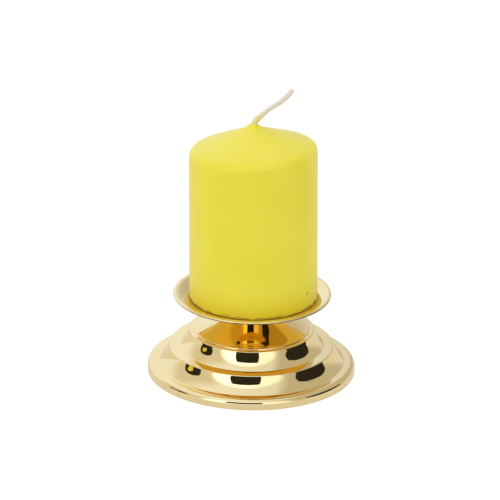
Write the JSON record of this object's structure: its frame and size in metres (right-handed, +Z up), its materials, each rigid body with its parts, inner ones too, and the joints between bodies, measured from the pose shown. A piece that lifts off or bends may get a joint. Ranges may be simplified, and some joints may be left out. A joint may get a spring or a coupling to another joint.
{
  "type": "pillar candle holder with candle",
  "caption": "Polished gilt pricket holder with a stepped spun foot, short bell-shaped neck and lipped drip pan, carrying a lift-off yellow pillar candle with a leaning wick.",
  "frame": {"origin": "on the table, at the middle of the round foot", "axes": "+Z up along the holder's axis, +X towards the side the wick leans to, -Y towards the viewer of the picture"},
  "size_m": [0.0808, 0.0808, 0.1173],
  "materials": {
    "gilt_metal": "mirror-polished gold-coloured plate",
    "zinc_steel": "bright zinc-plated steel",
    "yellow_wax": "smooth dyed paraffin wax, slightly translucent",
    "waxed_cotton": "braided cotton stiffened with wax"
  },
  "bodies": {
    "holder": {"foot_shell": "gilt_metal", "neck": "gilt_metal", "drip_pan": "gilt_metal", "pricket": "gilt_metal", "washer": "zinc_steel", "spring_washer": "zinc_steel", "clamp_nut": "zinc_steel"},
    "candle": {"candle": "yellow_wax", "wick": "waxed_cotton"}
  },
  "joints": [
    {"name": "candle_lift", "type": "slide", "parent": "holder", "child": "candle", "axis": [0, 0, 1], "range_m": [0, 0.06]}
  ]
}
